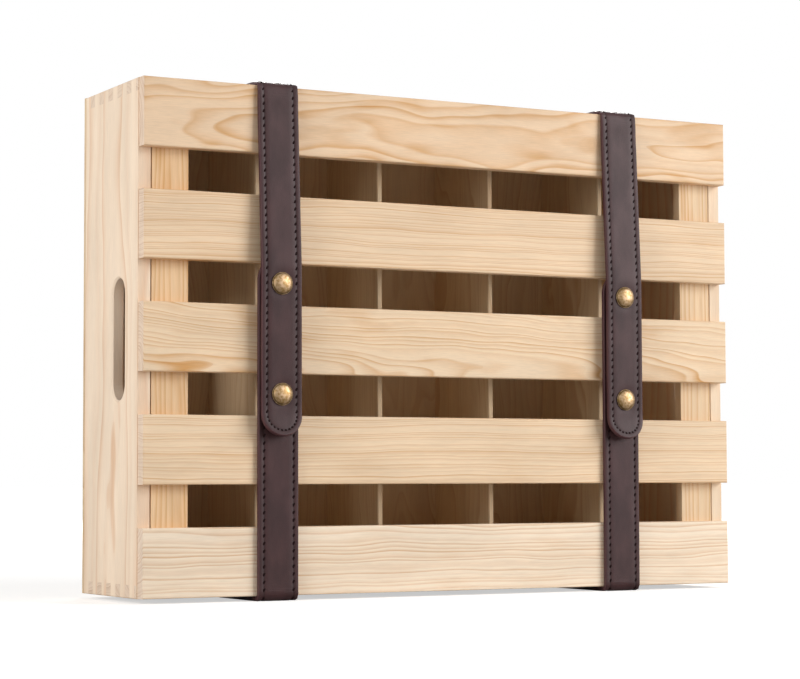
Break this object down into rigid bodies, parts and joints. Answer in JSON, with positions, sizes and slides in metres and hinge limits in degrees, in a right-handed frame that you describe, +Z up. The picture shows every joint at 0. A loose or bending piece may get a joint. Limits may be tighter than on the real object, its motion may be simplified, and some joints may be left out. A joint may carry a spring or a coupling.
{
  "type": "wine crate",
  "caption": "Slatted pine wine crate with finger-jointed corners, inner dividers, side hand slots and a lift-off slatted front held by stitched leather straps with press studs.",
  "frame": {"origin": "bottom centre of the whole object's box, on the surface that the straps stand on", "axes": "+X along the crate's width to the right seen from the front, -Y out of the slatted front, +Z up"},
  "size_m": [0.477, 0.1277, 0.3584],
  "materials": {
    "pine_boards": "sanded, uncoated",
    "pine_slats": "planed, uncoated",
    "thin_panels": "sanded, uncoated",
    "leather": "satin",
    "antique_brass": "aged, polished high spots",
    "screw_steel": "zinc plated",
    "staple_steel": "bright"
  },
  "bodies": {
    "crate": {"top_panel": "pine_boards", "bottom_panel": "pine_boards", "left_side": "pine_boards", "right_side": "pine_boards", "back_panel": "thin_panels", "back_staples": "staple_steel", "divider_1": "thin_panels", "divider_2": "thin_panels", "divider_3": "thin_panels", "divider_4": "thin_panels", "left_strap_wrap": "leather", "right_strap_wrap": "leather", "strap_screws": "screw_steel"},
    "lid": {"slat_1": "pine_slats", "slat_2": "pine_slats", "slat_3": "pine_slats", "slat_4": "pine_slats", "slat_5": "pine_slats", "left_batten": "pine_slats", "right_batten": "pine_slats", "lid_staples": "staple_steel"},
    "left_flap_end": {"left_flap_bend": "leather", "left_flap": "leather", "left_snap_caps": "antique_brass"},
    "left_tail_end": {"left_tail_bend": "leather", "left_tail": "leather", "left_snap_studs": "antique_brass"},
    "right_flap_end": {"right_flap_bend": "leather", "right_flap": "leather", "right_snap_caps": "antique_brass"},
    "right_tail_end": {"right_tail_bend": "leather", "right_tail": "leather", "right_snap_studs": "antique_brass"}
  },
  "joints": [
    {"name": "lid_lift_off", "type": "slide", "parent": "crate", "child": "lid", "axis": [0, -1, 0], "range_m": [0, 0.05]},
    {"name": "left_flap_lift", "type": "hinge", "parent": "crate", "child": "left_flap_end", "pos_m": [-0.14, -0.04965, 0.3519], "axis": [-1, 0, 0], "range_deg": [0, 176], "deforming": ["left_flap_bend"]},
    {"name": "left_tail_fall", "type": "hinge", "parent": "crate", "child": "left_tail_end", "pos_m": [-0.14, -0.04965, 0.0045], "axis": [1, 0, 0], "range_deg": [0, 90], "deforming": ["left_tail_bend"]},
    {"name": "right_flap_lift", "type": "hinge", "parent": "crate", "child": "right_flap_end", "pos_m": [0.14, -0.04965, 0.3519], "axis": [-1, 0, 0], "range_deg": [0, 176], "deforming": ["right_flap_bend"]},
    {"name": "right_tail_fall", "type": "hinge", "parent": "crate", "child": "right_tail_end", "pos_m": [0.14, -0.04965, 0.0045], "axis": [1, 0, 0], "range_deg": [0, 90], "deforming": ["right_tail_bend"]}
  ],
  "couplings": [
    {"joint": "left_flap_lift", "follows": "lid_lift_off", "rad_per_m": 61.43},
    {"joint": "left_tail_fall", "follows": "lid_lift_off", "rad_per_m": 31.41},
    {"joint": "right_flap_lift", "follows": "lid_lift_off", "rad_per_m": 61.43},
    {"joint": "right_tail_fall", "follows": "lid_lift_off", "rad_per_m": 31.41}
  ]
}
